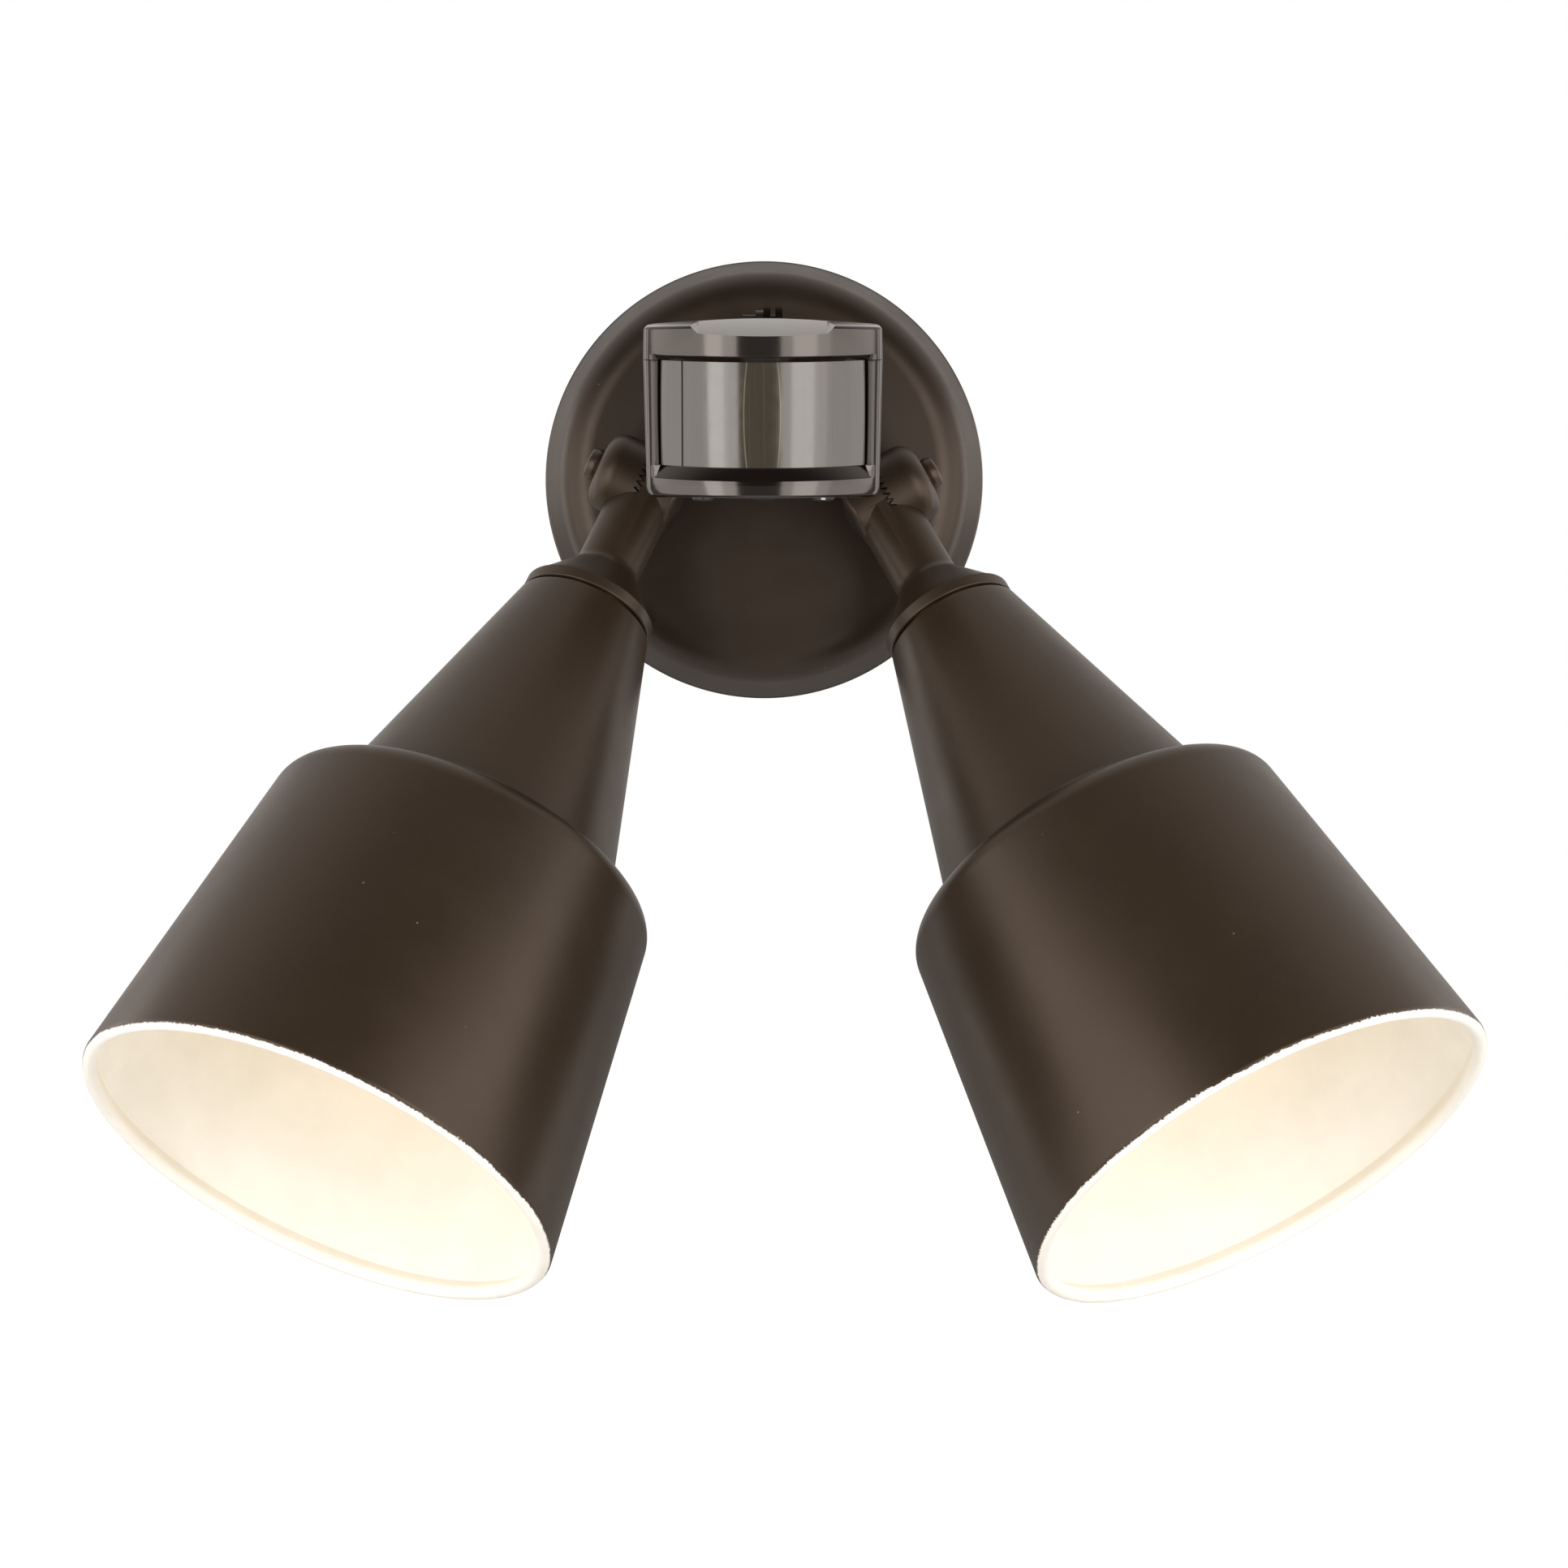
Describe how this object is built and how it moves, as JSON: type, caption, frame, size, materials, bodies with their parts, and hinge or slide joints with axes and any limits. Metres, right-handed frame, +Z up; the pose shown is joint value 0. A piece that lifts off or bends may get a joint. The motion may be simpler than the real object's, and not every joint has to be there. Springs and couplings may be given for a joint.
{
  "type": "motion sensor security light",
  "caption": "Outdoor wall light with shaded lampholders on toothed swivel knuckles and a tilting infrared motion sensor head, all on a round canopy.",
  "frame": {"origin": "centre of the canopy's back face, in the plane of the wall", "axes": "+Y into the wall, the light stands out towards -Y; +Z up; +X to the right seen from the front"},
  "size_m": [0.3687, 0.1983, 0.2913],
  "materials": {
    "bronze_paint": "satin dark bronze paint",
    "shade_paint": "satin dark bronze outside, white inside",
    "bolt_paint": "satin dark bronze paint",
    "brown_plastic": "semi-gloss moulded",
    "dark_plastic": "moulded",
    "smoky_lens": "smoked translucent, fine upright ribs",
    "rubber": "moulded",
    "zinc_steel": "zinc plated",
    "green_steel": "green grounding finish",
    "brass": "plain",
    "holder_black": "thermoset",
    "lamp_cap": "nickel-coloured screw base",
    "lamp_white": "white housing",
    "lamp_diffuser": "frosted",
    "pale_plastic": "natural nylon",
    "board": "solder-masked laminate",
    "cell_face": "clear epoxy over a serpentine track",
    "relay_case": "moulded",
    "trimmer_case": "moulded"
  },
  "bodies": {
    "base": {"canopy": "bronze_paint", "canopy_gasket": "rubber", "mounting_crossbar": "zinc_steel", "mounting_washer": "rubber", "mounting_screw": "bronze_paint", "ground_screw": "green_steel", "left_stem_gasket": "rubber", "right_stem_gasket": "rubber", "sensor_stem_gasket": "rubber", "sensor_ball_stem": "bronze_paint", "sensor_stem_locknut": "zinc_steel"},
    "left_knuckle": {"left_knuckle_base": "bronze_paint", "left_stem_locknut": "zinc_steel", "left_knuckle_bolt": "bolt_paint"},
    "left_lamp": {"left_lamp_arm": "bronze_paint", "left_shade": "shade_paint", "left_shade_washer": "brass", "left_socket_nipple": "brass", "left_lamp_socket": "holder_black", "left_socket_shell": "brass", "left_socket_contact": "brass", "left_lamp_base": "lamp_cap", "left_lamp_housing": "lamp_white", "left_lamp_globe": "lamp_diffuser"},
    "right_knuckle": {"right_knuckle_base": "bronze_paint", "right_stem_locknut": "zinc_steel", "right_knuckle_bolt": "bolt_paint"},
    "right_lamp": {"right_lamp_arm": "bronze_paint", "right_shade": "shade_paint", "right_shade_washer": "brass", "right_socket_nipple": "brass", "right_lamp_socket": "holder_black", "right_socket_shell": "brass", "right_socket_contact": "brass", "right_lamp_base": "lamp_cap", "right_lamp_housing": "lamp_white", "right_lamp_globe": "lamp_diffuser"},
    "sensor_bushing": {"ball_bushing": "pale_plastic"},
    "on_time_control": {"on_time_knob": "dark_plastic"},
    "range_control": {"range_knob": "dark_plastic"},
    "sensor_head": {"sensor_clamp": "brown_plastic", "clamp_screw": "zinc_steel", "clamp_nut": "zinc_steel", "sensor_body": "brown_plastic", "sensor_top_cover": "brown_plastic", "sensor_lens": "smoky_lens", "circuit_board": "board", "infrared_detector": "zinc_steel", "light_cell": "cell_face", "switching_relay": "relay_case", "trimmers": "trimmer_case", "control_panel": "brown_plastic", "housing_screws": "zinc_steel"}
  },
  "joints": [
    {"name": "left_arm_pan", "type": "hinge", "parent": "base", "child": "left_knuckle", "pos_m": [-0.03586, -0.034, -0.00331], "axis": [0, 1, 0], "range_deg": [-15, 60]},
    {"name": "left_arm_tilt", "type": "hinge", "parent": "left_knuckle", "child": "left_lamp", "pos_m": [-0.03277, -0.034, -0.00472], "axis": [-0.91, 0, 0.4147], "range_deg": [-9, 27]},
    {"name": "right_arm_pan", "type": "hinge", "parent": "base", "child": "right_knuckle", "pos_m": [0.03586, -0.034, -0.00669], "axis": [0, -1, 0], "range_deg": [-15, 60]},
    {"name": "right_arm_tilt", "type": "hinge", "parent": "right_knuckle", "child": "right_lamp", "pos_m": [0.03288, -0.034, -0.00833], "axis": [-0.8763, 0, -0.4818], "range_deg": [-9, 27]},
    {"name": "sensor_pan", "type": "hinge", "parent": "base", "child": "sensor_bushing", "pos_m": [0, -0.036, 0.032], "axis": [0, 0, 1], "range_deg": [-11, 11]},
    {"name": "sensor_tilt", "type": "hinge", "parent": "sensor_bushing", "child": "sensor_head", "pos_m": [0, -0.036, 0.032], "axis": [1, 0, 0], "range_deg": [-24, 4]},
    {"name": "on_time_turn", "type": "hinge", "parent": "sensor_head", "child": "on_time_control", "pos_m": [-0.0165, -0.06504, -0.00905], "axis": [0, -0.1564, 0.9877], "range_deg": [-135, 135]},
    {"name": "range_turn", "type": "hinge", "parent": "sensor_head", "child": "range_control", "pos_m": [0.0165, -0.06504, -0.00905], "axis": [0, -0.1564, 0.9877], "range_deg": [-135, 135]}
  ]
}
